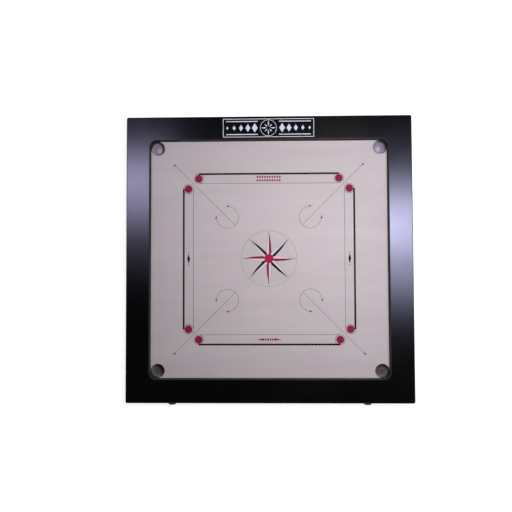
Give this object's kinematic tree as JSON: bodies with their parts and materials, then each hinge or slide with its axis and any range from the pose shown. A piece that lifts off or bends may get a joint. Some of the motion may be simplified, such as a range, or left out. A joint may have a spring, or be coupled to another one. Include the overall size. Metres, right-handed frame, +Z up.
{
  "type": "carrom board",
  "caption": "Square carrom board lying flat: smooth plywood playing surface with a raised black mitred wooden frame and netted corner pockets.",
  "frame": {"origin": "centre of the square frame on its underside, the plane that the board rests on when it lies flat; the two rubber edge feet stand 8 mm further out on -Y, so the bounding box is 4 mm off centre in Y", "axes": "+Z up out of the playing surface; X and Y along the rails; -Y is the edge with the rubber feet"},
  "size_m": [0.9144, 0.9224, 0.0508],
  "materials": {
    "frame_lacquer": "hardwood under black gloss lacquer",
    "panel_ply": "pale plywood, smooth clear satin lacquer",
    "batten_wood": "planed bare softwood",
    "spline_wood": "bare beech",
    "screw_steel": "zinc plated",
    "tack_brass": "dull",
    "net_cotton": "knotted twisted cotton cord",
    "foot_rubber": "matte",
    "ink_black": "thin printed ink film",
    "ink_red": "thin printed ink film",
    "ink_white": "thin printed ink film"
  },
  "bodies": {
    "root": {"rail_front": "frame_lacquer", "rail_right": "frame_lacquer", "rail_back": "frame_lacquer", "rail_left": "frame_lacquer", "mitre_spline_front_left": "spline_wood", "mitre_spline_front_right": "spline_wood", "mitre_spline_back_left": "spline_wood", "mitre_spline_back_right": "spline_wood", "play_panel": "panel_ply", "cross_batten_front": "batten_wood", "cross_batten_back": "batten_wood", "long_batten_left": "batten_wood", "long_batten_right": "batten_wood", "batten_screw_1": "screw_steel", "batten_screw_2": "screw_steel", "batten_screw_3": "screw_steel", "batten_screw_4": "screw_steel", "batten_screw_5": "screw_steel", "batten_screw_6": "screw_steel", "batten_screw_7": "screw_steel", "batten_screw_8": "screw_steel", "panel_screw_1": "screw_steel", "panel_screw_2": "screw_steel", "panel_screw_3": "screw_steel", "panel_screw_4": "screw_steel", "panel_screw_5": "screw_steel", "panel_screw_6": "screw_steel", "panel_screw_7": "screw_steel", "panel_screw_8": "screw_steel", "panel_screw_9": "screw_steel", "panel_screw_10": "screw_steel", "panel_screw_11": "screw_steel", "panel_screw_12": "screw_steel", "lap_screw_1": "screw_steel", "lap_screw_2": "screw_steel", "lap_screw_3": "screw_steel", "lap_screw_4": "screw_steel", "pocket_net_front_left": "net_cotton", "net_tack_front_left_1": "tack_brass", "net_tack_front_left_2": "tack_brass", "net_tack_front_left_3": "tack_brass", "pocket_net_front_right": "net_cotton", "net_tack_front_right_1": "tack_brass", "net_tack_front_right_2": "tack_brass", "net_tack_front_right_3": "tack_brass", "pocket_net_back_left": "net_cotton", "net_tack_back_left_1": "tack_brass", "net_tack_back_left_2": "tack_brass", "net_tack_back_left_3": "tack_brass", "pocket_net_back_right": "net_cotton", "net_tack_back_right_1": "tack_brass", "net_tack_back_right_2": "tack_brass", "net_tack_back_right_3": "tack_brass", "edge_foot_left": "foot_rubber", "foot_screw_left": "screw_steel", "edge_foot_right": "foot_rubber", "foot_screw_right": "screw_steel"}
  },
  "joints": []
}
